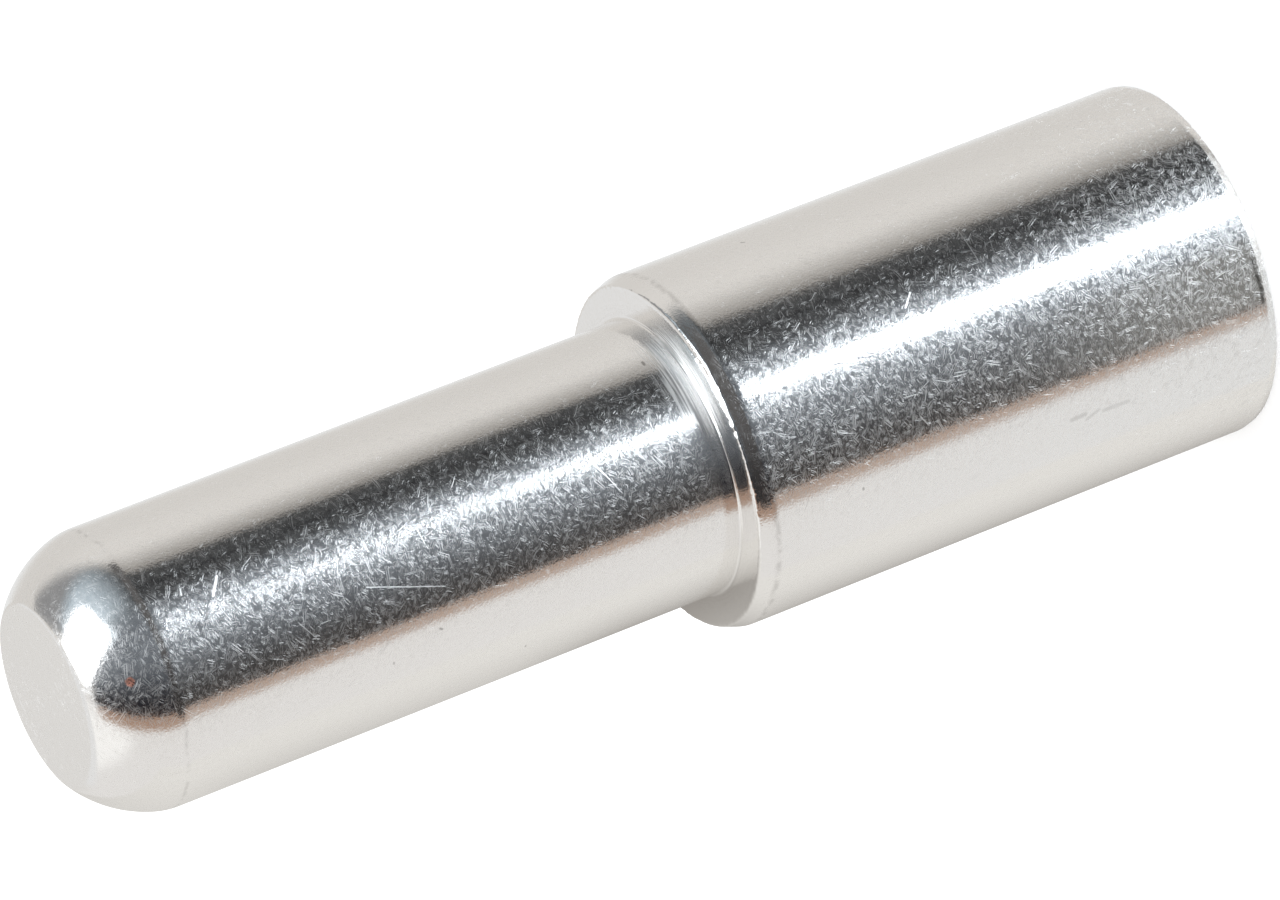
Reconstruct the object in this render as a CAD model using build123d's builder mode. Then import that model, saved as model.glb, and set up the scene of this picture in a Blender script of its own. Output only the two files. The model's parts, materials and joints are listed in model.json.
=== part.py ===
from build123d import *
import math
import os

# Contact pin of a battery connector, turned from one bar of copper alloy and silver plated.
# Millimetres. The pin stands on the rear face of its barrel: that face is z = 0,
# the common axis is Z, and the nose of the shank points up.

# Shank: the plain round pin that plugs into the mating socket.
SHANK_DIAMETER = 14.0
SHANK_LENGTH = 33.7

# Nose: an arc turned between the shank and a small flat end. The arc meets the shank
# at a faint crease instead of running into it tangentially.
NOSE_LENGTH = 3.7
NOSE_FLAT_DIAMETER = 9.3
NOSE_ARC_RADIUS = 6.1

# Shoulder: the flat ring where the barrel stands proud of the shank.
SHOULDER_WIDTH = 2.0
SHOULDER_ROOT_RADIUS = 0.15
SHOULDER_BEVEL_LENGTH = 0.9
SHOULDER_BEVEL_DEPTH = 0.32
SHOULDER_EDGE_RADIUS = 0.15

# Barrel: the thick rear end, bored blind for the conductor that is crimped into it.
BARREL_WALL = 2.5
BORE_DEPTH = 24.0
BORE_END_WEB = 5.3
DRILL_POINT_ANGLE = 118.0
MOUTH_CHAMFER = 0.5
REAR_BEVEL_LENGTH = 0.4
REAR_BEVEL_DEPTH = 0.1

# Sizes that follow from those above.
shank_radius = SHANK_DIAMETER / 2
barrel_radius = shank_radius + SHOULDER_WIDTH
bore_radius = barrel_radius - BARREL_WALL
barrel_length = BORE_DEPTH + BORE_END_WEB
pin_length = barrel_length + SHANK_LENGTH
nose_start = pin_length - NOSE_LENGTH
drill_point_height = bore_radius / math.tan(math.radians(DRILL_POINT_ANGLE / 2))


def ring_edges(part, radius, height):
    """The circular edges of one radius at one height on the pin's axis."""
    circles = part.edges().filter_by(GeomType.CIRCLE)
    at_height = circles.filter_by_position(Axis.Z, height - TOLERANCE, height + TOLERANCE)
    return at_height.filter_by(lambda edge: abs(edge.radius - radius) < TOLERANCE)


TOLERANCE = 0.001

with BuildPart() as contact_pin:
    # Half outline of the turned pin, from the rear face up the outside to the nose.
    with BuildSketch(Plane.XZ):
        with BuildLine():
            outline = Polyline(
                (0, 0),
                (barrel_radius - REAR_BEVEL_DEPTH, 0),
                (barrel_radius, REAR_BEVEL_LENGTH),
                (barrel_radius, barrel_length - SHOULDER_BEVEL_LENGTH),
                (barrel_radius - SHOULDER_BEVEL_DEPTH, barrel_length),
                (shank_radius, barrel_length),
                (shank_radius, nose_start),
            )
            nose = RadiusArc(outline @ 1, (NOSE_FLAT_DIAMETER / 2, pin_length), -NOSE_ARC_RADIUS)
            Line(nose @ 1, (0, pin_length))
            Line((0, pin_length), (0, 0))
        make_face()
    revolve(axis=Axis.Z)

    # The tool leaves a small radius in the root of the shoulder, and tumbling rounds its rim.
    fillet(ring_edges(contact_pin.part, shank_radius, barrel_length), SHOULDER_ROOT_RADIUS)
    fillet(
        ring_edges(contact_pin.part, barrel_radius - SHOULDER_BEVEL_DEPTH, barrel_length),
        SHOULDER_EDGE_RADIUS,
    )

    # Blind crimp bore with the cone that a drill leaves at its bottom.
    with BuildSketch(Plane.XZ):
        with BuildLine():
            Polyline(
                (0, 0),
                (bore_radius, 0),
                (bore_radius, BORE_DEPTH),
                (0, BORE_DEPTH + drill_point_height),
                close=True,
            )
        make_face()
    revolve(axis=Axis.Z, mode=Mode.SUBTRACT)

    # Lead-in at the bore's mouth, for the strands of the conductor.
    chamfer(ring_edges(contact_pin.part, bore_radius, 0), MOUTH_CHAMFER)

contact_pin.part.label = "contact_pin"

os.makedirs("parts", exist_ok=True)
export_step(contact_pin.part, "parts/contact_pin.step")
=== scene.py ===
"""The looks of the contact pin: a turned, silver-plated pin, tumbled bright with fine scratches.

Sizes on the pin are in millimetres. An azimuth is in degrees about the pin's axis, from -Y, the
camera's side, towards +X. An elevation is in degrees above the horizontal.
"""

import json
import math

import bmesh
import bpy
from mathutils import Matrix, Vector, noise


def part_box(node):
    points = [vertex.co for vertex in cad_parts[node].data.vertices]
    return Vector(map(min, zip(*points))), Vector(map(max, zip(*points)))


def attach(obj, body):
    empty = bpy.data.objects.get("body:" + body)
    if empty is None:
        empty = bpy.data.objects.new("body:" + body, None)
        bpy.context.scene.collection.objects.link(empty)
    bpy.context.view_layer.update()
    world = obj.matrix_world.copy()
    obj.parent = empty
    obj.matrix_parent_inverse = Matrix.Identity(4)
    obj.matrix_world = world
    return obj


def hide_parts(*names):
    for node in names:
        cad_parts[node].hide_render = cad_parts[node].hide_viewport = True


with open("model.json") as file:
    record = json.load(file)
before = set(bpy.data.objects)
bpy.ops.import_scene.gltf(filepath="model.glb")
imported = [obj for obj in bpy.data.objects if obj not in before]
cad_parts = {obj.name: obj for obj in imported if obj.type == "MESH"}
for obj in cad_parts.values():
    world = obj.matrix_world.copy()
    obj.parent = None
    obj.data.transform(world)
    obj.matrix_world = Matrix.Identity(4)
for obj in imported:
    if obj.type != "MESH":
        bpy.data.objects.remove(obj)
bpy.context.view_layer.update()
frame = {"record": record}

MM = 0.001

# --- Sizes of the turned form -------------------------------------------------------------

mounts = {mount["name"]: mount for mount in frame["record"]["mounts"]}
SHANK_RADIUS = mounts["contact_shank"]["dims"]["r_mm"]
BARREL_RADIUS = mounts["barrel_outside"]["dims"]["r_mm"]
BORE_RADIUS = mounts["crimp_bore"]["dims"]["r_mm"]
SHOULDER_HEIGHT = mounts["shoulder_face"]["pos_m"][2] / MM
PIN_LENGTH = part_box("contact_pin")[1].z / MM

NOSE_LENGTH = 3.7
NOSE_FLAT_RADIUS = 4.65
NOSE_ARC_RADIUS = 6.1
BEVEL_LENGTH = 0.9
BEVEL_DEPTH = 0.32
BORE_DEPTH = 24.0
DRILL_POINT_ANGLE = 118.0
MOUTH_CHAMFER = 0.5
REAR_BEVEL_LENGTH = 0.4
REAR_BEVEL_DEPTH = 0.1

# How far each corner is rounded back along its two sides.
CREASE_REACH = 0.42
ROOT_REACH = 0.15
BEVEL_END_REACH = 0.16
REAR_REACH = 0.03

NOSE_START = PIN_LENGTH - NOSE_LENGTH
BEVEL_END = SHOULDER_HEIGHT - BEVEL_LENGTH
RIM_RADIUS = BARREL_RADIUS - BEVEL_DEPTH
REAR_RADIUS = BARREL_RADIUS - REAR_BEVEL_DEPTH
MOUTH_RADIUS = BORE_RADIUS + MOUTH_CHAMFER
DRILL_POINT = BORE_DEPTH + BORE_RADIUS / math.tan(math.radians(DRILL_POINT_ANGLE / 2))

# --- Edges that tumbling has rounded unevenly ---------------------------------------------

# The edge of the nose's flat is rounded back furthest at one azimuth, and less on both sides.
FLAT_EDGE_REACH = 0.10
FLAT_EDGE_SWELL = 0.32
FLAT_EDGE_SWELL_AZIMUTH = -62.0
FLAT_EDGE_SWELL_WIDTH = 60.0

# On the shoulder's face the rim is rounded back furthest on the camera's side. Its waves are
# given as (length, depth, level of the noise that they are cut from).
RIM_REACH = 0.14
RIM_REACH_LEAST = 0.05
RIM_SWELL = 0.40
RIM_SWELL_AZIMUTH = 12.0
RIM_SWELL_WIDTH = 38.0
RIM_REACH_DOWN = 0.12
RIM_SWELL_DOWN = 0.30
RIM_WAVES = (
    (2.6, 0.06, 3.0),
    (0.8, 0.08, 11.0),
    (0.34, 0.15, 29.0),
)


def ring_noise(azimuth, length, level):
    """Smooth noise round the barrel's rim, with waves of about one length, and no seam."""
    turn = math.radians(azimuth)
    scale = BARREL_RADIUS / length
    return noise.noise(Vector((math.sin(turn) * scale, math.cos(turn) * scale, level)))


def bell(azimuth, middle, width):
    """1 at an azimuth, and smoothly down to 0 on both sides of it."""
    away = (azimuth - middle + 180) % 360 - 180
    return math.exp(-((away / width) ** 2))


def rim_reach(azimuth):
    """How far the rim is rounded back on the face, and down the bevel, at an azimuth."""
    swell = RIM_SWELL * bell(azimuth, RIM_SWELL_AZIMUTH, RIM_SWELL_WIDTH)
    waves = sum(depth * ring_noise(azimuth, length, level) for length, depth, level in RIM_WAVES)
    inward = max(RIM_REACH_LEAST, RIM_REACH + swell + waves)
    down = max(RIM_REACH_LEAST, RIM_REACH_DOWN + RIM_SWELL_DOWN * (swell + waves))
    return inward, down


def flat_edge_reach(azimuth):
    """How far the edge of the nose's flat is rounded back at an azimuth."""
    swell = bell(azimuth, FLAT_EDGE_SWELL_AZIMUTH, FLAT_EDGE_SWELL_WIDTH)
    return FLAT_EDGE_REACH + FLAT_EDGE_SWELL * swell


# --- The outline of the pin ---------------------------------------------------------------

# How far apart the rings are at most, and how close the first and last lie to a corner.
LONG_STEP = 1.5
FACE_STEP = 5.0
BORE_STEP = 3.0
SUPPORT = 0.05

# How many steps the nose's arc and each rounded corner have.
NOSE_STEPS = 26
NOSE_STEPS_IN_EDGE = 3
NOSE_STEPS_IN_CREASE = 3
FLAT_EDGE_STEPS = 8
CREASE_STEPS = 6
ROOT_STEPS = 7
RIM_STEPS = 12
BEVEL_END_STEPS = 4
REAR_EDGE_STEPS = 3
REAR_STEPS = 2

# The smallest rings, round the middle of the flat and of the drill cone.
FLAT_MIDDLE_RADIUS = 0.4
CONE_MIDDLE_RADIUS = 0.3


def toward(start, end, distance):
    """The point at a distance from start on the way to end."""
    length = math.dist(start, end)
    return tuple(a + (b - a) * distance / length for a, b in zip(start, end))


def straight(start, end, step):
    """Points from start to end, both included, with one more ring close to each end."""
    first = toward(start, end, SUPPORT)
    last = toward(end, start, SUPPORT)
    count = max(1, round(math.dist(first, last) / step))
    inner = [
        tuple(a + (b - a) * i / count for a, b in zip(first, last)) for i in range(count + 1)
    ]
    return [start, *inner, end]


def rounded(before, corner, after, reach, steps, reach_after=None):
    """Points of a small rounding at a corner, from reach before it to reach after it."""
    start = toward(corner, before, reach)
    end = toward(corner, after, reach if reach_after is None else reach_after)
    points = []
    for i in range(steps + 1):
        t = i / steps
        weights = ((1 - t) ** 2, 2 * t * (1 - t), t**2)
        points.append(
            tuple(sum(w * p[k] for w, p in zip(weights, (start, corner, end))) for k in range(2))
        )
    return points


def nose_arc():
    """The nose's arc as (radius, height), from the flat's edge down to the crease."""
    top = (NOSE_FLAT_RADIUS, PIN_LENGTH)
    low = (SHANK_RADIUS, NOSE_START)
    chord = math.dist(top, low)
    middle = ((top[0] + low[0]) / 2, (top[1] + low[1]) / 2)
    inward = ((low[1] - top[1]) / chord, (top[0] - low[0]) / chord)
    depth = math.sqrt(NOSE_ARC_RADIUS**2 - (chord / 2) ** 2)
    centre = (middle[0] + inward[0] * depth, middle[1] + inward[1] * depth)
    start = math.atan2(top[1] - centre[1], top[0] - centre[0])
    end = math.atan2(low[1] - centre[1], low[0] - centre[0])
    angles = [start + (end - start) * i / NOSE_STEPS for i in range(NOSE_STEPS + 1)]
    return [
        (
            centre[0] + NOSE_ARC_RADIUS * math.cos(angle),
            centre[1] + NOSE_ARC_RADIUS * math.sin(angle),
        )
        for angle in angles
    ]


def outline(azimuth):
    """(zone, radius, height) of each ring, from the flat down the outside and up the bore."""
    arc = nose_arc()
    rim_inward, rim_down = rim_reach(azimuth)
    flat_middle = (FLAT_MIDDLE_RADIUS, PIN_LENGTH)
    crease = (SHANK_RADIUS, NOSE_START)
    root = (SHANK_RADIUS, SHOULDER_HEIGHT)
    rim = (RIM_RADIUS, SHOULDER_HEIGHT)
    bevel_end = (BARREL_RADIUS, BEVEL_END)
    rear_bevel = (BARREL_RADIUS, REAR_BEVEL_LENGTH)
    rear = (REAR_RADIUS, 0.0)
    mouth = (MOUTH_RADIUS, 0.0)
    bore_start = (BORE_RADIUS, MOUTH_CHAMFER)
    bore_end = (BORE_RADIUS, BORE_DEPTH)
    cone_slope = (DRILL_POINT - BORE_DEPTH) / BORE_RADIUS
    cone_top = (CONE_MIDDLE_RADIUS, DRILL_POINT - CONE_MIDDLE_RADIUS * cone_slope)
    above_edge = arc[NOSE_STEPS_IN_EDGE]
    above_crease = arc[-1 - NOSE_STEPS_IN_CREASE]

    flat_edge = rounded(
        flat_middle, arc[0], above_edge, flat_edge_reach(azimuth), FLAT_EDGE_STEPS
    )
    crease_turn = rounded(above_crease, crease, root, CREASE_REACH, CREASE_STEPS)
    root_turn = rounded(crease, root, rim, ROOT_REACH, ROOT_STEPS)
    rim_turn = rounded(root, rim, bevel_end, rim_inward, RIM_STEPS, rim_down)
    bevel_turn = rounded(rim, bevel_end, rear_bevel, BEVEL_END_REACH, BEVEL_END_STEPS)
    rear_bevel_turn = rounded(bevel_end, rear_bevel, rear, REAR_REACH, REAR_STEPS)
    rear_turn = rounded(rear_bevel, rear, mouth, REAR_REACH, REAR_EDGE_STEPS)
    mouth_turn = rounded(rear, mouth, bore_start, REAR_REACH, REAR_STEPS)
    bore_start_turn = rounded(mouth, bore_start, bore_end, REAR_REACH, REAR_STEPS)

    zones = (
        ("flat", straight(flat_middle, flat_edge[0], FACE_STEP)),
        ("outside", flat_edge[1:]),
        ("outside", arc[NOSE_STEPS_IN_EDGE : -1 - NOSE_STEPS_IN_CREASE]),
        ("outside", crease_turn),
        ("outside", straight(crease_turn[-1], root_turn[0], LONG_STEP)[1:-1]),
        ("outside", root_turn),
        ("outside", straight(root_turn[-1], rim_turn[0], FACE_STEP)[1:-1]),
        ("outside", rim_turn),
        ("outside", straight(rim_turn[-1], bevel_turn[0], FACE_STEP)[1:-1]),
        ("outside", bevel_turn),
        ("outside", straight(bevel_turn[-1], rear_bevel_turn[0], LONG_STEP)[1:-1]),
        ("outside", rear_bevel_turn),
        ("outside", rear_turn),
        ("rear", straight(rear_turn[-1], mouth_turn[0], LONG_STEP)[1:-1]),
        ("rear", mouth_turn),
        ("rear", bore_start_turn),
        ("bore", straight(bore_start_turn[-1], bore_end, BORE_STEP)[1:]),
        ("cone", straight(bore_end, cone_top, BORE_STEP)[1:]),
    )
    return [(zone, radius, height) for zone, points in zones for radius, height in points]


# --- The pin's mesh -----------------------------------------------------------------------

COLUMNS = 640

# The skin unrolled on a sheet: the lower left corner and the radius of the outside's and the
# bore's strips, and the middles of the discs.
SHEET_WIDTH = 100.0
SHEET_HEIGHT = 67.0
STRIPS = {"outside": (0.5, 0.5, BARREL_RADIUS), "bore": (58.6, 0.5, BORE_RADIUS)}
DISCS = {"flat": (64.0, 31.5), "rear": (84.0, 36.5), "cone": (66.0, 46.0)}


def on_sheet(zone, column, radius, length):
    """The place on the unrolled sheet of a point of a zone, in a column of the mesh."""
    turn = 2 * math.pi * column / COLUMNS
    if zone in STRIPS:
        left, low, strip_radius = STRIPS[zone]
        return (left + turn * strip_radius) / SHEET_WIDTH, (low + length) / SHEET_HEIGHT
    middle = DISCS[zone]
    across = middle[0] + radius * math.sin(turn)
    up = middle[1] + radius * math.cos(turn)
    return across / SHEET_WIDTH, up / SHEET_HEIGHT


def ring_lengths(column):
    """How far along the outline each ring lies from where its own zone starts."""
    lengths = [0.0]
    for (zone_above, *above), (zone, *ring) in zip(column, column[1:]):
        start = lengths[-1] if zone == zone_above else 0.0
        lengths.append(start + math.dist(above, ring))
    return lengths


def pin_mesh():
    """The turned pin as one closed mesh: a ring of vertices for each point of the outline."""
    columns = [outline(360 * i / COLUMNS) for i in range(COLUMNS)]
    ring_count = len(columns[0])
    lengths = ring_lengths(columns[0])
    mesh = bmesh.new()
    sheet = mesh.loops.layers.uv.new("OFBake")
    rings = []
    for k in range(ring_count):
        ring = []
        for i, column in enumerate(columns):
            turn = math.radians(360 * i / COLUMNS)
            _, radius, height = column[k]
            ring.append(
                mesh.verts.new(
                    Vector((radius * math.sin(turn), -radius * math.cos(turn), height)) * MM
                )
            )
        rings.append(ring)

    def add_face(corners):
        """A face from corners given as (vertex, place on the sheet)."""
        face = mesh.faces.new([vertex for vertex, _ in corners])
        for loop, (_, place) in zip(face.loops, corners):
            loop[sheet].uv = place

    for k in range(1, ring_count):
        upper, lower = rings[k - 1], rings[k]
        zone, low_radius, _ = columns[0][k]
        zone_above, up_radius, _ = columns[0][k - 1]
        up_length = lengths[k - 1] if zone == zone_above else 0.0
        for i in range(COLUMNS):
            j = (i + 1) % COLUMNS
            add_face(
                (
                    (upper[i], on_sheet(zone, i, up_radius, up_length)),
                    (lower[i], on_sheet(zone, i, low_radius, lengths[k])),
                    (lower[j], on_sheet(zone, i + 1, low_radius, lengths[k])),
                    (upper[j], on_sheet(zone, i + 1, up_radius, up_length)),
                )
            )
    for k, height in ((0, PIN_LENGTH), (ring_count - 1, DRILL_POINT)):
        pole = mesh.verts.new(Vector((0, 0, height)) * MM)
        zone, radius, _ = columns[0][k]
        for i in range(COLUMNS):
            add_face(
                (
                    (rings[k][i], on_sheet(zone, i, radius, 0.0)),
                    (rings[k][(i + 1) % COLUMNS], on_sheet(zone, i + 1, radius, 0.0)),
                    (pole, on_sheet(zone, i, 0.0, 0.0)),
                )
            )
    bmesh.ops.recalc_face_normals(mesh, faces=mesh.faces)
    for face in mesh.faces:
        face.smooth = True
    data = bpy.data.meshes.new("contact_pin_looks")
    mesh.to_mesh(data)
    mesh.free()
    return data


# --- Node helpers -------------------------------------------------------------------------


def plate_colour(red, green, blue):
    """A colour given as it looks on a screen, 0 to 255, as the linear colour nodes take."""

    def linear(value):
        value /= 255
        return value / 12.92 if value <= 0.04045 else ((value + 0.055) / 1.055) ** 2.4

    return (linear(red), linear(green), linear(blue), 1.0)


class Nodes:
    """Adds nodes to a tree. An input is a number, a tuple or another node's output."""

    def __init__(self, tree):
        self.tree = tree
        tree.nodes.clear()

    def add(self, kind, inputs=None, **settings):
        node = self.tree.nodes.new(kind)
        for name, value in settings.items():
            setattr(node, name, value)
        for key, value in (inputs or {}).items():
            self.feed(node.inputs[key], value)
        return node

    def feed(self, socket, value):
        if isinstance(value, bpy.types.NodeSocket):
            self.tree.links.new(value, socket)
        else:
            socket.default_value = value

    def math(self, operation, *values):
        node = self.add("ShaderNodeMath", operation=operation)
        for socket, value in zip(node.inputs, values):
            self.feed(socket, value)
        return node.outputs[0]

    def vector(self, operation, *values, scale=None):
        node = self.add("ShaderNodeVectorMath", operation=operation)
        for socket, value in zip(node.inputs, values):
            self.feed(socket, value)
        if scale is not None:
            self.feed(node.inputs["Scale"], scale)
        gives_number = operation in ("DOT_PRODUCT", "LENGTH", "DISTANCE")
        return node.outputs["Value" if gives_number else "Vector"]

    def times(self, value, factor, plus=0.0):
        """A value times a factor, plus another value."""
        return self.math("MULTIPLY_ADD", value, factor, plus)

    def lifted(self, mask, least):
        """A mask that goes up to 1 from a least value, not from 0."""
        return self.times(mask, 1 - least, least)

    def away(self, value, middle):
        """How far a value is from a middle, on either side."""
        return self.math("ABSOLUTE", self.math("SUBTRACT", value, middle))

    def fade(self, value, start, end):
        """0 at start, 1 at end and smooth between, whichever of the two is larger."""
        node = self.add(
            "ShaderNodeMapRange", {0: value, 1: start, 2: end}, interpolation_type="SMOOTHSTEP"
        )
        return node.outputs[0]

    def both(self, *masks):
        """The product of several masks."""
        product = masks[0]
        for mask in masks[1:]:
            product = self.math("MULTIPLY", product, mask)
        return product

    def mix(self, mask, below, above):
        """One colour over another, where the mask is 1."""
        node = self.add("ShaderNodeMix", {0: mask, 6: below, 7: above}, data_type="RGBA")
        return node.outputs[2]


# --- The studio that the metal mirrors ----------------------------------------------------

# The pale bench all round, and the brown post in front of it.
BENCH_AT_LEFT = plate_colour(228, 226, 224)
BENCH_AT_RIGHT = plate_colour(214, 211, 207)
BENCH_LOW_DOWN = plate_colour(226, 227, 227)
BENCH_BEHIND = plate_colour(221, 219, 216)
BENCH_HIGH_UP = plate_colour(250, 249, 247)
WOOD_LOW = plate_colour(180, 160, 147)
WOOD_HIGH = plate_colour(166, 138, 120)

# The dark room from left to right, then its gap and its sheen.
ROOM_LEFT_HIGH = plate_colour(36, 35, 39)
ROOM_LEFT_LOW = plate_colour(62, 60, 59)
ROOM_MIDDLE = plate_colour(108, 113, 119)
ROOM_RIGHT = plate_colour(62, 63, 64)
ROOM_FAR_RIGHT = plate_colour(140, 140, 141)
ROOM_GAP = plate_colour(34, 34, 35)
ROOM_SHEEN = plate_colour(190, 203, 212)

# The bench in front of the room, and the cool light behind.
NEAR_BENCH_SHADED = plate_colour(140, 136, 131)
NEAR_BENCH_LIT = plate_colour(220, 217, 213)
LIGHT_HIGH_BEHIND = plate_colour(228, 228, 228)
LIGHT_LOW_BEHIND = plate_colour(236, 237, 237)

# Straight edges, each through two directions as (azimuth, elevation), and how soft they are.
POST_EDGE = ((-56.5, -23.0), (-68.0, 60.0), 2.5)
ROOM_EDGE = ((-47.0, -23.0), (-51.0, 58.0), 2.0)
ROOM_FAR_EDGE = ((112.0, 55.0), (145.0, 15.0), 3.0)
NEAR_BENCH_EDGE = ((76.0, 0.0), (128.0, 26.0), 8.0)

# How bright the plain white is that the camera sees and that lights the floor.
WHITE_STRENGTH = 1.6


def direction(azimuth, elevation):
    turn = math.radians(azimuth)
    rise = math.radians(elevation)
    return Vector(
        (math.cos(rise) * math.sin(turn), -math.cos(rise) * math.cos(turn), math.sin(rise))
    )


class Surroundings(Nodes):
    """The nodes of a world. They know the azimuth and the elevation that are looked at."""

    def __init__(self, tree):
        super().__init__(tree)
        self.ray = self.add("ShaderNodeTexCoord").outputs["Generated"]
        x, y, z = self.add("ShaderNodeSeparateXYZ", {0: self.ray}).outputs
        minus_y = self.math("MULTIPLY", y, -1.0)
        self.azimuth = self.math("DEGREES", self.math("ARCTAN2", x, minus_y))
        self.elevation = self.math("DEGREES", self.math("ARCSINE", z))
        self.from_front = self.math("ABSOLUTE", self.azimuth)

    def turned(self, start, end):
        """A fade from one azimuth to another."""
        return self.fade(self.azimuth, start, end)

    def behind(self, start, end):
        """A fade towards the back, on both sides alike."""
        return self.fade(self.from_front, start, end)

    def raised(self, start, end):
        """A fade from one elevation to another."""
        return self.fade(self.elevation, start, end)

    def beyond(self, first, second, soft):
        """1 beyond the straight edge through two directions: to its right, where going up
        the edge has the larger azimuths on its right."""
        edge = direction(*second).cross(direction(*first)).normalized()
        reach = math.sin(math.radians(soft))
        return self.fade(self.vector("DOT_PRODUCT", self.ray, tuple(edge)), -reach, reach)


def pale_bench(n):
    """The bench's pale top all round: warmer at the left, cooler low down, brighter high up."""
    colour = n.mix(n.turned(-100, 60), BENCH_AT_LEFT, BENCH_AT_RIGHT)
    colour = n.mix(n.raised(-24.4, -26.4), colour, BENCH_LOW_DOWN)
    colour = n.mix(n.behind(148, 174), colour, BENCH_BEHIND)
    high_up = n.both(n.turned(-58, -80), n.raised(32, 46), n.raised(84, 70))
    return n.mix(high_up, colour, BENCH_HIGH_UP)


def wooden_post(n, colour):
    """The brown post along the dark room's left edge."""
    post = n.both(
        n.beyond(*POST_EDGE), n.turned(-20, -30), n.raised(-50, -42), n.raised(74, 62)
    )
    return n.mix(post, colour, n.mix(n.raised(-30, 20), WOOD_LOW, WOOD_HIGH))


def dark_room(n, colour):
    """The dark room on the camera's side, with its grey middle, a dark gap and a cold sheen."""
    room = n.both(
        n.beyond(*ROOM_EDGE),
        n.math("MAXIMUM", n.beyond(*ROOM_FAR_EDGE), n.turned(70, 50)),
        n.turned(-100, -80),
        n.raised(-50, -42),
        n.raised(78, 71),
    )
    at_left = n.mix(n.raised(15, -30), ROOM_LEFT_HIGH, ROOM_LEFT_LOW)
    shade = n.mix(n.turned(-40, 8), at_left, ROOM_MIDDLE)
    shade = n.mix(n.turned(30, 46), shade, ROOM_RIGHT)
    shade = n.mix(n.turned(84, 104), shade, ROOM_FAR_RIGHT)
    gap = n.both(n.turned(51, 54), n.turned(57, 54.5), n.raised(0, -12))
    shade = n.mix(gap, shade, ROOM_GAP)
    sheen = n.both(n.turned(26, 54), n.turned(104, 84), n.raised(-4, 36))
    shade = n.mix(sheen, shade, ROOM_SHEEN)
    return n.mix(room, colour, shade)


def near_bench(n, colour):
    """The bench again, in front of the room at the lower right, in shade at its near side."""
    bench = n.both(
        n.turned(65.5, 73), n.turned(180, 166), n.beyond(*NEAR_BENCH_EDGE), n.raised(40, 26)
    )
    shade = n.mix(n.turned(64, 96), NEAR_BENCH_SHADED, NEAR_BENCH_LIT)
    shade = n.mix(n.turned(100, 130), shade, BENCH_AT_RIGHT)
    return n.mix(bench, colour, shade)


def light_behind(n, colour):
    """Cool light behind: high up for the flat and the shoulder's face, low down at the right."""
    high = n.both(n.behind(140, 165), n.raised(20.5, 23.5))
    colour = n.mix(high, colour, LIGHT_HIGH_BEHIND)
    low = n.both(n.turned(146, 172), n.raised(10, 0))
    return n.mix(low, colour, LIGHT_LOW_BEHIND)


def studio_world():
    """White for the camera and the floor. The metal mirrors a pale bench and a dark room."""
    world = bpy.data.worlds.new("studio")
    world.use_nodes = True
    world.cycles.sampling_method = "NONE"
    n = Surroundings(world.node_tree)
    colour = pale_bench(n)
    for addition in (wooden_post, dark_room, near_bench, light_behind):
        colour = addition(n, colour)
    mirrored = n.add("ShaderNodeBackground", {"Color": colour})
    white = {"Color": (1.0, 1.0, 1.0, 1.0), "Strength": WHITE_STRENGTH}
    plain = n.add("ShaderNodeBackground", white)
    in_metal = n.add("ShaderNodeLightPath").outputs["Is Glossy Ray"]
    choice = n.add(
        "ShaderNodeMixShader", {0: in_metal, 1: plain.outputs[0], 2: mirrored.outputs[0]}
    )
    n.add("ShaderNodeOutputWorld", {"Surface": choice.outputs[0]})
    bpy.context.scene.world = world


# --- Lamps and cards that only the metal mirrors -------------------------------------------

CARD_STEPS = 16

# Corners as azimuth and elevation: upper left, upper right, lower right, lower left.
LAMP_CORNERS = ((15.8, -25.6), (23.2, -25.6), (16.2, -60.0), (-0.4, -60.0))
LAMP_LIGHT = (52.0, 56.5, 60.0, 1.0)
LAMP_EDGE = plate_colour(104, 108, 113)
SOFTBOX_CORNERS = ((-36.0, 78.0), (110.0, 71.0), (80.0, 32.5), (28.0, 32.5))
SOFTBOX_LIGHT = (6.4, 6.7, 7.0, 1.0)
WALL_ABOVE = plate_colour(236, 236, 235)
WALL_BELOW = plate_colour(182, 193, 201)
LAMP_DISTANCE = 3000.0

# The bench touches the barrel at this azimuth. How far its shade reaches to both sides.
BENCH_AZIMUTH = -135.0
BENCH_HALF_WIDTH = 14.0
BENCH_TOP = PIN_LENGTH
BENCH_LENGTH = 75.0

# The bench's colour on the two sides and in its shade. How deep the shade is at its top, and how
# much deeper it gets between two places further down.
BENCH_SIDES = (plate_colour(216, 214, 211), plate_colour(229, 227, 223))
BENCH_SHADED = plate_colour(84, 73, 63)
BENCH_SHADE = 0.18
BENCH_SHADE_DEEPER = (
    (0.03, 0.17, 0.20),
    (0.30, 0.42, 0.40),
    (0.44, 0.52, 0.22),
)

# Two upright edges near the pin, between two azimuths and two heights. Only the shoulder's bevel
# mirrors the room's dark edge, and only the barrel's rear end the bench's near edge.
EDGE_DISTANCE = 100.0
DARK_EDGE_AZIMUTHS = (-50.0, 80.0)
DARK_EDGE_HEIGHTS = (43.0, 59.5)
DARK_EDGE_COLOURS = (plate_colour(48, 46, 46), plate_colour(90, 88, 87))
NEAR_EDGE_AZIMUTHS = (-46.0, 0.0)
NEAR_EDGE_HEIGHTS = (-80.0, -27.0)
NEAR_EDGE_ROOM = (plate_colour(62, 60, 59), plate_colour(106, 110, 116))
NEAR_EDGE_BENCH = plate_colour(128, 128, 125)


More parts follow.
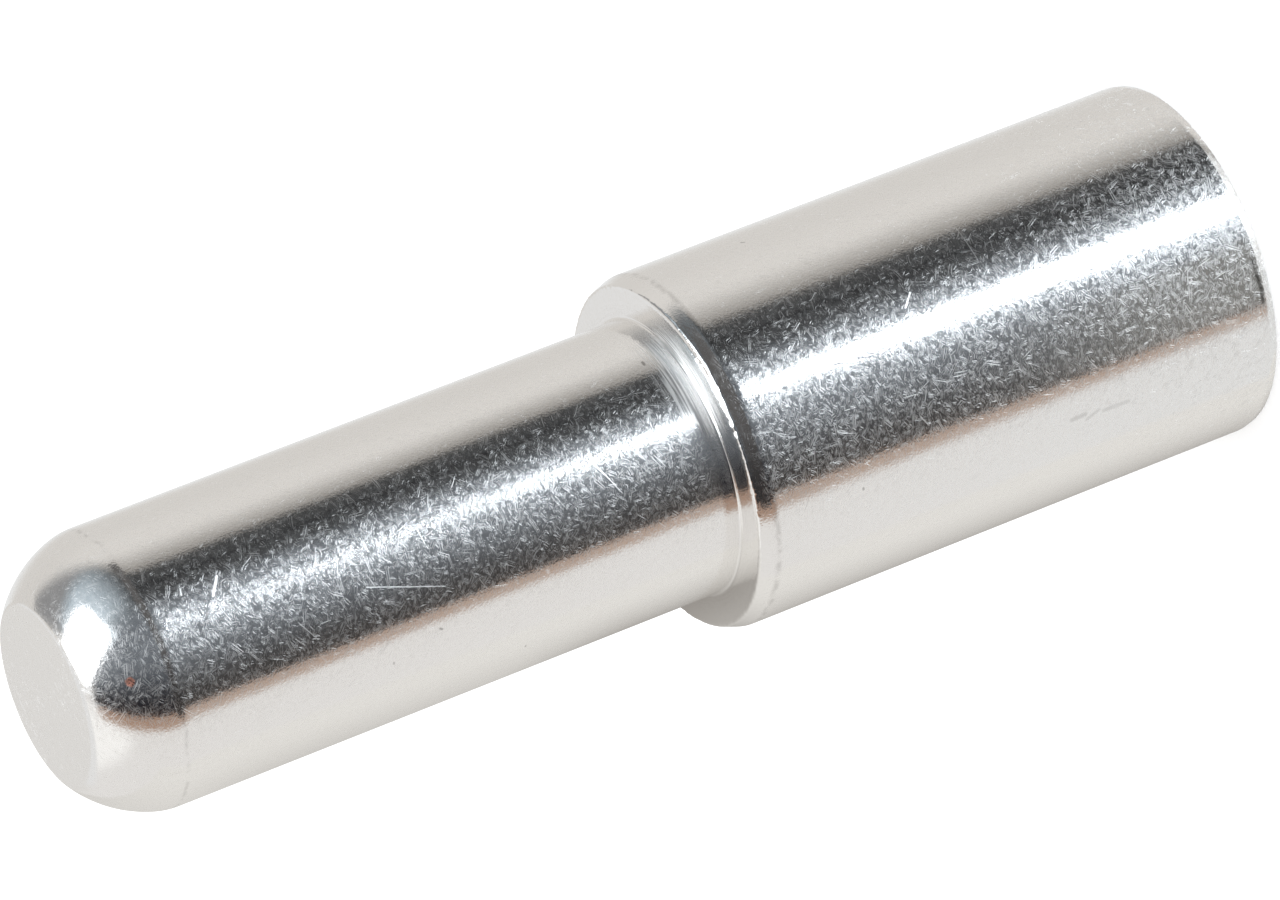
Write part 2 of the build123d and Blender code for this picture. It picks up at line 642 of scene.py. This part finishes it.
def add_card(name, place, paint):
    """A glowing card. place and paint take how far across and down it is, from 0 to 1, and give
    the spot in mm, and the colour of its glow."""
    spots = []
    for down in range(CARD_STEPS + 1):
        for across in range(CARD_STEPS + 1):
            spots.append(place(across / CARD_STEPS, down / CARD_STEPS) * MM)
    row = CARD_STEPS + 1
    faces = []
    for down in range(CARD_STEPS):
        for across in range(CARD_STEPS):
            first = down * row + across
            faces.append((first, first + 1, first + 1 + row, first + row))
    data = bpy.data.meshes.new(name)
    data.from_pydata(spots, [], faces)
    places = data.uv_layers.new(name="across_and_down")
    for loop in data.loops:
        down, across = divmod(loop.vertex_index, row)
        places.data[loop.index].uv = (across / CARD_STEPS, down / CARD_STEPS)
    material = bpy.data.materials.new(name)
    material.use_nodes = True
    n = Nodes(material.node_tree)
    uv = n.add("ShaderNodeTexCoord").outputs["UV"]
    across, down, _ = n.add("ShaderNodeSeparateXYZ", {0: uv}).outputs
    light = n.add("ShaderNodeEmission", {"Color": paint(n, across, down), "Strength": 1.0})
    n.add("ShaderNodeOutputMaterial", {"Surface": light.outputs[0]})
    data.materials.append(material)
    card = bpy.data.objects.new(name, data)
    card.visible_camera = False
    card.visible_diffuse = False
    card.visible_transmission = False
    card.visible_shadow = False
    bpy.context.scene.collection.objects.link(card)


def far_place(corners):
    """Places far out, between the directions of four corners."""
    middle = Vector((0, 0, PIN_LENGTH / 2))
    upper_left, upper_right, lower_right, lower_left = (
        middle + direction(*corner) * LAMP_DISTANCE for corner in corners
    )

    def place(across, down):
        left = upper_left.lerp(lower_left, down)
        right = upper_right.lerp(lower_right, down)
        return left.lerp(right, across)

    return place


def upright_place(azimuths, heights):
    """Places on an upright strip near the pin, between two azimuths and two heights."""
    left, right = azimuths
    low, high = heights

    def place(across, down):
        outward = direction(left + (right - left) * across, 0.0)
        return outward * EDGE_DISTANCE + Vector((0, 0, high + (low - high) * down))

    return place


def add_lamp():
    """A long narrow lamp low in front, soft at its edges: the long highlight."""

    def paint(n, across, down):
        soft = n.both(
            n.fade(n.away(across, 0.5), 0.5, 0.2),
            n.fade(down, 0.0, 0.06),
            n.fade(down, 1.0, 0.8),
        )
        return n.mix(soft, LAMP_EDGE, LAMP_LIGHT)

    add_card("lamp", far_place(LAMP_CORNERS), paint)


def add_softbox():
    """The softbox high on the right, which the rounded nose mirrors."""

    def paint(n, across, down):
        soft = n.both(
            n.fade(across, 0.0, 0.24),
            n.fade(across, 1.0, 0.70),
            n.fade(down, 0.0, 0.28),
            n.fade(down, 1.0, 0.72),
        )
        wall = n.mix(n.fade(down, 0.5, 0.9), WALL_ABOVE, WALL_BELOW)
        return n.mix(soft, wall, SOFTBOX_LIGHT)

    add_card("softbox", far_place(SOFTBOX_CORNERS), paint)


def add_bench_shade():
    """The bench beside the line where the pin touches it, in its own brown-grey shade."""
    outward = direction(BENCH_AZIMUTH, 0.0)
    along = Vector((0, 0, 1)).cross(outward)

    def place(across, down):
        side = (2 * across - 1) * BENCH_HALF_WIDTH
        height = BENCH_TOP - BENCH_LENGTH * down
        return outward * BARREL_RADIUS + along * side + Vector((0, 0, height))

    def paint(n, across, down):
        depth = BENCH_SHADE
        for start, end, deeper in BENCH_SHADE_DEEPER:
            depth = n.times(n.fade(down, start, end), deeper, depth)
        shade = n.math("MULTIPLY", n.fade(n.away(across, 0.5), 0.42, -0.10), depth)
        return n.mix(shade, n.mix(n.fade(across, 0.0, 0.4), *BENCH_SIDES), BENCH_SHADED)

    add_card("bench_shade", place, paint)


def add_dark_edge():
    """The dark edge of the room that the shoulder's bevel mirrors, lighter to the right."""

    def paint(n, across, down):
        return n.mix(n.fade(across, 0.1, 0.5), *DARK_EDGE_COLOURS)

    add_card("dark_edge", upright_place(DARK_EDGE_AZIMUTHS, DARK_EDGE_HEIGHTS), paint)


def add_near_edge():
    """The bench's near edge, which lightens the dark band at the barrel's rear end."""

    def paint(n, across, down):
        seen = n.both(n.fade(down, 0.0, 0.28), n.fade(across, 0.0, 0.08), n.fade(across, 1.0, 0.8))
        return n.mix(seen, n.mix(across, *NEAR_EDGE_ROOM), NEAR_EDGE_BENCH)

    add_card("near_edge", upright_place(NEAR_EDGE_AZIMUTHS, NEAR_EDGE_HEIGHTS), paint)


# --- Silver plate -------------------------------------------------------------------------

# How rough the polished metal is, and how much rougher it is under the strokes.
POLISH = 0.09
POLISH_LOST = 0.12

# How rough the scattering strokes are, the finest and how much more the strongest, and how much
# further they scatter the light across themselves than along.
SCATTER_LEAST = 0.20
SCATTER_SPREAD = 0.36
SCATTER_STRETCH = 0.70
STROKE_COARSENESS = 2.1
SCRATCH_COARSENESS = 1.4

# Each noise is given as (scale, detail). The grain thins the veil and varies the silver's tone.
GRAIN_NOISE = (5.0, 2.0)
VEIL_LEVELS = (0.3, 0.8)

# The relief of the tumbled surface: wide waves and a fine ripple.
WAVE_NOISE = (0.9, 1.0)
WAVE_DEPTH = 0.004
RIPPLE_NOISE = (9.0, 1.0)
RIPPLE_DEPTH = 0.004

# Layers of tumbling strokes, the fine ones first, as (cell, pitch, lean, share, bare): the size
# of the cell that one tuft fills, the spacing of its strokes, how much they lean away from the
# turning direction, how much of the light they scatter, and how much is left bare between them.
STROKE_LAYERS = (
    (0.17, 0.056, 2.2, 0.42, 0.40),
    (0.22, 0.058, 2.4, 0.44, 0.40),
    (0.28, 0.060, 2.6, 0.46, 0.40),
    (0.40, 0.062, 2.8, 0.48, 0.40),
    (0.80, 0.055, 3.0, 0.52, 0.44),
)

# How wide a tuft is, in pitches and in cells: where it starts to fade, and where it has ended.
TUFT_PITCHES = (1.6, 2.6)
TUFT_CELLS = (0.25, 0.80)

# How a cell's chance number, 0 to 1, makes its tuft weak or strong, how far it shifts the strokes'
# own noise, and the level of that noise at which a stroke is full.
TUFT_CHANCES = (-1.2, 1.0)
STROKE_SHIFT = 97.0
STROKE_FULL = 0.66

# Where the strokes are denser or thinner than elsewhere. REAR_HEIGHTS is taken from the rear
# face, the two shelters from the shoulder's face. STRIP and FLANK stand for azimuths.
REAR_HEIGHTS = (13.0, 2.0)
REAR_GAIN = 0.45
BEVEL_SHELTER = (-1.1, -0.1)
SHANK_SHELTER = (1.6, 0.1)
SHELTER_LOSS = 0.6
STRIP_RIGHT = (-2, -12)
STRIP_LEFT = (-28, -22)
STRIP_GAIN = 0.25
FLANK_RIGHT = (15, 28)
FLANK_LEFT = (-27, -34)
FLANK_BEHIND = (150, 110)
FLANK_LOSS = 0.28

# The veil of the very finest scratches, and how much more of it lies at the rear end.
VEIL = 0.05
REAR_VEIL = 0.08
FLANK_VEIL_LOSS = 0.5

# Fine turned grooves that tumbling hasn't reached, in the shoulder's corner. They show most near
# the root, and round one azimuth. TURNED_SHANK is taken from the shoulder's face.
TURNED_SHANK = (2.3, 0.3)
TURNED_FACE = (-0.08, -0.01)
TURNED_NEAR_ROOT = (RIM_RADIUS - 0.28, SHANK_RADIUS + 0.2)
TURNED_NEAR_ROOT_LEAST = 0.1
TURNED_PITCH = 0.08
TURNED_BREAKS = 0.55
TURNED_LEVELS = (0.38, 0.66)
TURNED_LEAST = 0.4
TURNED_SHARE = 0.95
TURNED_SCATTER = 1.6
TURNED_STRETCH = 0.90
TURNED_AZIMUTH = 28.0
TURNED_WIDTH = (32, 16)
TURNED_ASIDE_LEAST = 0.06

# Nicks along the shoulder's rim, below and above its height, and from a radius outwards.
NICKS_BELOW = (-0.32, -0.16)
NICKS_ABOVE = (0.02, -0.03)
NICKS_OUTWARD = (RIM_RADIUS - 0.38, RIM_RADIUS - 0.18)
NICK_NOISE = (6.5, 1.0)
NICK_DEPTH = 0.010

# Faint dark lines at the nose's crease and the bevel's end, which wander a little: painted reflections
# of these two edges. The crease's is fainter in front, round one azimuth.
WANDER_NOISE = (0.8, 2.0)
LINE_WANDER = 0.36
CREASE_LINE_NOISE = (1.9, 2.0)
CREASE_LINE_LEVELS = (0.35, 0.65)
CREASE_LINE_WIDTH = 0.18
CREASE_LINE_SHARE = 0.06
CREASE_LINE_GAIN = 0.16
CREASE_LINE_AZIMUTH = 14
CREASE_LINE_FRONT = (36, 44)
BEVEL_LINE_NOISE = (1.8, 3.0)
BEVEL_LINE_LEVELS = (0.34, 0.62)
BEVEL_LINE_WIDTH = 0.24
BEVEL_LINE_SHARE = 0.26
BEVEL_LINE_WANDER = 0.6

# Marks on the skin: from one (height, azimuth) to another, half the width, and the strength. A
# mark is full within this share of its half width.
MARK_CORE = 0.2
SCRATCHES = (
    ((48.8, -5.0), (45.0, -15.8), 0.06, 0.50),
    ((56.0, 13.3), (55.4, 20.0), 0.10, 0.95),
    ((57.4, 18.0), (57.3, 20.5), 0.07, 0.90),
    ((18.6, 16.0), (18.0, 20.0), 0.07, 0.80),
    ((14.0, 22.0), (14.0, 35.0), 0.05, 0.45),
    ((52.6, -8.0), (51.9, -17.0), 0.04, 0.55),
    ((35.9, 9.0), (35.0, -7.0), 0.04, 0.60),
)
# Dark specks, then a grey smudge on the barrel and the dark bruise along its rear edge.
SPECKS = (
    ((23.6, -32.6), (23.6, -32.2), 0.10, 0.45),
    ((23.0, 65.8), (23.1, 66.4), 0.09, 0.50),
    ((45.6, -32.2), (45.7, -31.6), 0.09, 0.50),
    ((48.3, -39.2), (48.3, -38.6), 0.08, 0.40),
    ((41.1, -58.2), (41.1, -57.6), 0.08, 0.40),
    ((30.9, 39.4), (30.9, 40.8), 0.12, 0.60),
    ((14.0, -20.4), (14.0, -19.6), 0.22, 0.35),
    ((11.85, -37.1), (11.1, -36.9), 0.20, 0.22),
    ((11.0, -38.9), (10.35, -37.2), 0.16, 0.17),
    ((10.05, -38.1), (8.65, -38.3), 0.18, 0.17),
    ((0.62, -9.0), (0.60, -14.0), 0.11, 0.60),
    ((0.60, -14.0), (0.52, -19.0), 0.15, 0.80),
    ((0.52, -19.0), (0.60, -23.0), 0.13, 0.65),
)

SILVER = (plate_colour(246, 245, 243), plate_colour(251, 250, 249))
# The grey of the specks, and of the dark lines painted as reflections of two edges.
SPECK_AND_PAINTED_EDGE_GREY = plate_colour(110, 107, 103)

# Where the plating is worn through on the nose, down to the copper alloy.
COPPER_SPOT = tuple(direction(-6.7, 0.0) * 6.30 + Vector((0, 0, 61.15)))
COPPER_REACH = (0.36, 0.26)
COPPER_NOISE = (6.0, 1.0)
COPPER_UNEVEN = 0.16
COPPER_SCATTER = 0.9
COPPER = (0.86, 0.42, 0.32, 1.0)


class Plating(Nodes):
    """The nodes of the plating. They know where on the pin they are."""

    def __init__(self, tree):
        super().__init__(tree)
        place = self.add("ShaderNodeTexCoord")
        self.spot = self.vector("SCALE", place.outputs["Object"], scale=1 / MM)
        self.facing = place.outputs["Normal"]
        self.x, self.y, self.height = self.add("ShaderNodeSeparateXYZ", {0: self.spot}).outputs
        outward = self.vector("MULTIPLY", self.spot, (1.0, 1.0, 0.0))
        self.radius = self.vector("LENGTH", outward)
        self.angle = self.math("ARCTAN2", self.x, self.math("MULTIPLY", self.y, -1.0))
        turning = self.vector("CROSS_PRODUCT", (0.0, 0.0, 1.0), outward)
        self.around = self.vector("NORMALIZE", turning)
        self.profile = self.vector("CROSS_PRODUCT", self.facing, self.around)
        along = self.math("MULTIPLY", self.angle, self.radius)
        self.on_skin = self.add("ShaderNodeCombineXYZ", {0: self.height, 1: along}).outputs[0]

    def noise(self, scale, detail=0.0, where=None):
        place = self.spot if where is None else where
        inputs = {"Vector": place, "Scale": scale, "Detail": detail}
        return self.add("ShaderNodeTexNoise", inputs).outputs["Fac"]

    def turned(self, start, end):
        """A fade from one azimuth to another."""
        return self.fade(self.angle, math.radians(start), math.radians(end))

    def aside(self, middle, start, end):
        """A fade on both sides of an azimuth."""
        from_middle = self.away(self.angle, math.radians(middle))
        return self.fade(from_middle, math.radians(start), math.radians(end))

    def over_shoulder(self, start, end):
        """A fade from one height to another, both taken from the shoulder's face."""
        return self.fade(self.height, SHOULDER_HEIGHT + start, SHOULDER_HEIGHT + end)

    def across(self, lie):
        """The way across grooves that lie in a direction."""
        return self.vector("NORMALIZE", self.vector("CROSS_PRODUCT", self.facing, lie))


def tuft_of_strokes(n, cell, pitch, lean, bare):
    """Short parallel strokes in each cell of a grid, turned another way in every cell.

    Gives how strong they are, 0 to 1, and the way across them, along which they spread the light.
    """
    grid = n.add("ShaderNodeTexVoronoi", {"Vector": n.spot, "Scale": 1 / cell}, feature="F1")
    centre = grid.outputs["Position"]
    offset = n.vector("SUBTRACT", n.spot, centre)
    turned = n.vector("SUBTRACT", grid.outputs["Color"], (0.5, 0.5, 0.5))
    across = n.across(n.vector("ADD", n.around, n.vector("SCALE", turned, scale=lean)))
    chance = n.add("ShaderNodeTexWhiteNoise", {"Vector": centre}).outputs["Value"]
    aside = n.vector("DOT_PRODUCT", offset, across)
    along = n.math("DIVIDE", aside, pitch)
    lines = n.add(
        "ShaderNodeTexNoise",
        {"W": n.times(chance, STROKE_SHIFT, along), "Scale": 1.0, "Detail": 0.0},
        noise_dimensions="1D",
    ).outputs["Fac"]
    full_cells, end_cells = TUFT_CELLS
    full_pitches, end_pitches = TUFT_PITCHES
    patch = n.fade(n.vector("LENGTH", offset), end_cells * cell, full_cells * cell)
    band = n.fade(n.math("ABSOLUTE", aside), end_pitches * pitch, full_pitches * pitch)
    strokes = n.fade(lines, bare, STROKE_FULL)
    return n.both(patch, band, n.fade(chance, *TUFT_CHANCES), strokes), across


def tumbled(n):
    """How dense the strokes are, 1 where nothing changes them, and how dense the fine veil is."""
    sheltered = n.both(n.over_shoulder(*BEVEL_SHELTER), n.over_shoulder(*SHANK_SHELTER))
    at_rear = n.fade(n.height, *REAR_HEIGHTS)
    density = n.times(sheltered, -SHELTER_LOSS, n.times(at_rear, REAR_GAIN, 1.0))
    on_barrel = n.over_shoulder(*reversed(BEVEL_SHELTER))
    beside_strip = n.both(n.turned(*STRIP_RIGHT), n.turned(*STRIP_LEFT), on_barrel)
    density = n.times(beside_strip, STRIP_GAIN, density)
    on_flank = n.both(
        n.math("MAXIMUM", n.turned(*FLANK_RIGHT), n.turned(*FLANK_LEFT)),
        n.fade(n.math("ABSOLUTE", n.angle), *map(math.radians, FLANK_BEHIND)),
    )
    density = n.times(on_flank, -FLANK_LOSS, density)
    veil = n.times(at_rear, REAR_VEIL, VEIL)
    veil = n.math("MULTIPLY", veil, n.times(on_flank, -FLANK_VEIL_LOSS, 1.0))
    return density, veil


def turned_grooves(n):
    """How strong the turned grooves in the shoulder's corner are, and how coarse."""
    place = n.add(
        "ShaderNodeCombineXYZ",
        {
            0: n.math("MULTIPLY", n.x, TURNED_BREAKS),
            1: n.math("MULTIPLY", n.y, TURNED_BREAKS),
            2: n.math("DIVIDE", n.math("ADD", n.radius, n.height), TURNED_PITCH),
        },
    ).outputs[0]
    grooves = n.lifted(n.fade(n.noise(1.0, where=place), *TURNED_LEVELS), TURNED_LEAST)
    in_corner = n.both(
        n.over_shoulder(*TURNED_SHANK), n.over_shoulder(*TURNED_FACE), TURNED_SHARE
    )
    on_side = n.lifted(n.aside(TURNED_AZIMUTH, *TURNED_WIDTH), TURNED_ASIDE_LEAST)
    near_root = n.lifted(n.fade(n.radius, *TURNED_NEAR_ROOT), TURNED_NEAR_ROOT_LEAST)
    coarse = n.math("MULTIPLY", grooves, TURNED_SCATTER)
    return n.both(in_corner, grooves, near_root, on_side), coarse


def relief(n):
    """Waves and ripples all over, and nicks along the shoulder's rim."""
    waves = n.math("MULTIPLY", n.noise(*WAVE_NOISE), WAVE_DEPTH)
    depth = n.times(n.noise(*RIPPLE_NOISE), RIPPLE_DEPTH, waves)
    at_rim = n.both(
        n.over_shoulder(*NICKS_BELOW),
        n.over_shoulder(*NICKS_ABOVE),
        n.fade(n.radius, *NICKS_OUTWARD),
    )
    nicks = n.both(at_rim, n.noise(*NICK_NOISE), NICK_DEPTH)
    inputs = {"Height": n.math("ADD", depth, nicks), "Distance": MM, "Strength": 1.0}
    return n.add("ShaderNodeBump", inputs).outputs[0]


def painted_edge_reflections(n):
    """How dark the painted reflections at the nose's crease and the bevel's end are: uneven lines."""
    wander = n.times(n.noise(*WANDER_NOISE), LINE_WANDER, -LINE_WANDER / 2)
    from_crease = n.away(n.math("ADD", n.height, wander), NOSE_START)
    crease_share = n.times(
        n.aside(CREASE_LINE_AZIMUTH, *CREASE_LINE_FRONT), CREASE_LINE_GAIN, CREASE_LINE_SHARE
    )
    crease_line = n.both(
        n.fade(from_crease, CREASE_LINE_WIDTH, 0.0),
        n.fade(n.noise(*CREASE_LINE_NOISE), *CREASE_LINE_LEVELS),
        crease_share,
    )
    from_bevel = n.away(n.times(wander, BEVEL_LINE_WANDER, n.height), BEVEL_END)
    bevel_line = n.both(
        n.fade(from_bevel, BEVEL_LINE_WIDTH, 0.0),
        n.fade(n.noise(*BEVEL_LINE_NOISE), *BEVEL_LINE_LEVELS),
        BEVEL_LINE_SHARE,
    )
    return n.math("MAXIMUM", crease_line, bevel_line)


def mark(n, start, end, half_width, share):
    """How strong a thin line over the skin is, and the way it lies as (height, around)."""
    size = BARREL_RADIUS if max(start[0], end[0]) < SHOULDER_HEIGHT else SHANK_RADIUS
    first, last = (
        Vector((height, math.radians(azimuth) * size, 0.0)) for height, azimuth in (start, end)
    )
    reach = last - first
    offset = n.vector("SUBTRACT", n.on_skin, tuple(first))
    done = n.vector("DOT_PRODUCT", offset, tuple(reach / reach.length_squared))
    done = n.math("MINIMUM", n.math("MAXIMUM", done, 0.0), 1.0)
    away = n.vector("SUBTRACT", offset, n.vector("SCALE", tuple(reach), scale=done))
    line = n.fade(n.vector("LENGTH", away), half_width, MARK_CORE * half_width)
    return n.math("MULTIPLY", line, share), reach


def lay(n, scratched, spread, strength, across):
    """Lays scratches over others. Gives where they are the stronger ones, then how strong both
    are together, and the way across them."""
    stronger = n.math("GREATER_THAN", strength, scratched)
    return stronger, n.math("MAXIMUM", strength, scratched), n.mix(stronger, spread, across)


def scratches(n, grain):
    """The veil, the strokes, the turned grooves and the single scratches, laid over each other.

    Gives how strong they are, the way across them, how coarse they are, and how much further
    they scatter the light across than along. Each kind counts where it is the strongest.
    """
    density, veil = tumbled(n)
    scratched = n.math("MULTIPLY", n.fade(grain, *VEIL_LEVELS), veil)
    spread = n.profile
    for cell, pitch, lean, share, bare in STROKE_LAYERS:
        strokes, across = tuft_of_strokes(n, cell, pitch, lean, bare)
        strength = n.both(strokes, density, share)
        _, scratched, spread = lay(n, scratched, spread, strength, across)
    coarse = n.math("MULTIPLY", scratched, STROKE_COARSENESS)

    turned, turned_coarse = turned_grooves(n)
    stronger, scratched, spread = lay(n, scratched, spread, turned, n.profile)
    coarse = n.mix(stronger, coarse, turned_coarse)
    stretch = n.times(stronger, TURNED_STRETCH - SCATTER_STRETCH, SCATTER_STRETCH)

    for scratch in SCRATCHES:
        line, reach = mark(n, *scratch)
        lie = n.vector("ADD", n.vector("SCALE", n.around, scale=reach.y), (0.0, 0.0, reach.x))
        _, scratched, spread = lay(n, scratched, spread, line, n.across(lie))
        coarse = n.math("MAXIMUM", coarse, n.math("MULTIPLY", line, SCRATCH_COARSENESS))
    return scratched, spread, coarse, stretch


def silver_tone(n, grain):
    """The silver's slightly uneven colour, with its specks and the painted reflections of two edges."""
    # The dark lines at the two edges are painted reflections; the specks are real marks.
    dark = painted_edge_reflections(n)
    for speck in SPECKS:
        darker, _ = mark(n, *speck)
        dark = n.math("MAXIMUM", dark, darker)
    return n.mix(dark, n.mix(grain, *SILVER), SPECK_AND_PAINTED_EDGE_GREY)


def worn_through(n):
    """Where the copper alloy shows, with an uneven edge."""
    from_spot = n.vector("LENGTH", n.vector("SUBTRACT", n.spot, COPPER_SPOT))
    return n.fade(n.times(n.noise(*COPPER_NOISE), COPPER_UNEVEN, from_spot), *COPPER_REACH)


def silver_plate():
    """Bright silver plate, tumbled: a mirror under a veil of short fine scratches."""
    material = bpy.data.materials.new("silver_plate")
    material.use_nodes = True
    n = Plating(material.node_tree)
    grain = n.noise(*GRAIN_NOISE)
    scratched, spread, coarse, stretch = scratches(n, grain)
    copper = worn_through(n)
    scratched = n.math("MAXIMUM", scratched, n.math("MULTIPLY", copper, COPPER_SCATTER))
    plating = {
        "Base Color": n.mix(copper, silver_tone(n, grain), COPPER),
        "Metallic": 1.0,
        "Normal": relief(n),
    }
    polished = n.add(
        "ShaderNodeBsdfPrincipled",
        {**plating, "Roughness": n.times(scratched, POLISH_LOST, POLISH)},
    )
    scattering = n.add(
        "ShaderNodeBsdfPrincipled",
        {
            **plating,
            "Roughness": n.times(coarse, SCATTER_SPREAD, SCATTER_LEAST),
            "Anisotropic": stretch,
            "Tangent": spread,
        },
    )
    shader = n.add(
        "ShaderNodeMixShader", {0: scratched, 1: polished.outputs[0], 2: scattering.outputs[0]}
    )
    n.add("ShaderNodeOutputMaterial", {"Surface": shader.outputs[0]})
    return material


# --- Camera and floor ---------------------------------------------------------------------

CAMERA_AIM = (0.74, 0.0, 30.39)
CAMERA_DISTANCE = 482.3
CAMERA_ELEVATION = 23.13
CAMERA_ROLL = 111.22
CAMERA_LENS = 282.9
CAMERA_SENSOR = 36.0

FLOOR_SIZE = 6.0
FLOOR_COLOUR = (0.9, 0.9, 0.9, 1.0)


def add_camera():
    """The photograph's view: from -Y, a little above, rolled so that the pin lies across the picture."""
    rise = math.radians(CAMERA_ELEVATION)
    roll = math.radians(CAMERA_ROLL)
    forward = Vector((0, math.cos(rise), -math.sin(rise)))
    level = Vector((1, 0, 0))
    upright = level.cross(forward)
    up = upright * math.cos(roll) + level * math.sin(roll)
    right = forward.cross(up)
    data = bpy.data.cameras.new("camera")
    data.lens = CAMERA_LENS
    data.sensor_width = CAMERA_SENSOR
    camera = bpy.data.objects.new("camera", data)
    turn = Matrix((right, up, -forward)).transposed().to_4x4()
    place = (Vector(CAMERA_AIM) - forward * CAMERA_DISTANCE) * MM
    camera.matrix_world = Matrix.Translation(place) @ turn
    bpy.context.scene.collection.objects.link(camera)
    bpy.context.scene.camera = camera


def add_floor():
    """A plain pale floor that the metal doesn't mirror. It isn't seen from below."""
    half = FLOOR_SIZE / 2
    data = bpy.data.meshes.new("floor")
    corners = ((-half, -half, 0), (half, -half, 0), (half, half, 0), (-half, half, 0))
    data.from_pydata(corners, [], [(0, 1, 2, 3)])
    material = bpy.data.materials.new("pale_floor")
    material.use_nodes = True
    n = Nodes(material.node_tree)
    pale = n.add("ShaderNodeBsdfDiffuse", {"Color": FLOOR_COLOUR})
    clear = n.add("ShaderNodeBsdfTransparent")
    below = n.add("ShaderNodeNewGeometry").outputs["Backfacing"]
    shown = n.add("ShaderNodeMixShader", {0: below, 1: pale.outputs[0], 2: clear.outputs[0]})
    n.add("ShaderNodeOutputMaterial", {"Surface": shown.outputs[0]})
    data.materials.append(material)
    floor = bpy.data.objects.new("floor", data)
    floor.visible_glossy = False
    floor.visible_shadow = False
    bpy.context.scene.collection.objects.link(floor)


add_camera()
studio_world()
add_floor()
add_lamp()
add_softbox()
add_bench_shade()
add_dark_edge()
add_near_edge()

pin = bpy.data.objects.new("silver_contact_pin", pin_mesh())
pin.data.materials.append(silver_plate())
bpy.context.scene.collection.objects.link(pin)
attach(pin, "root")
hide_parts("contact_pin")

bpy.context.scene.view_settings.view_transform = "Standard"
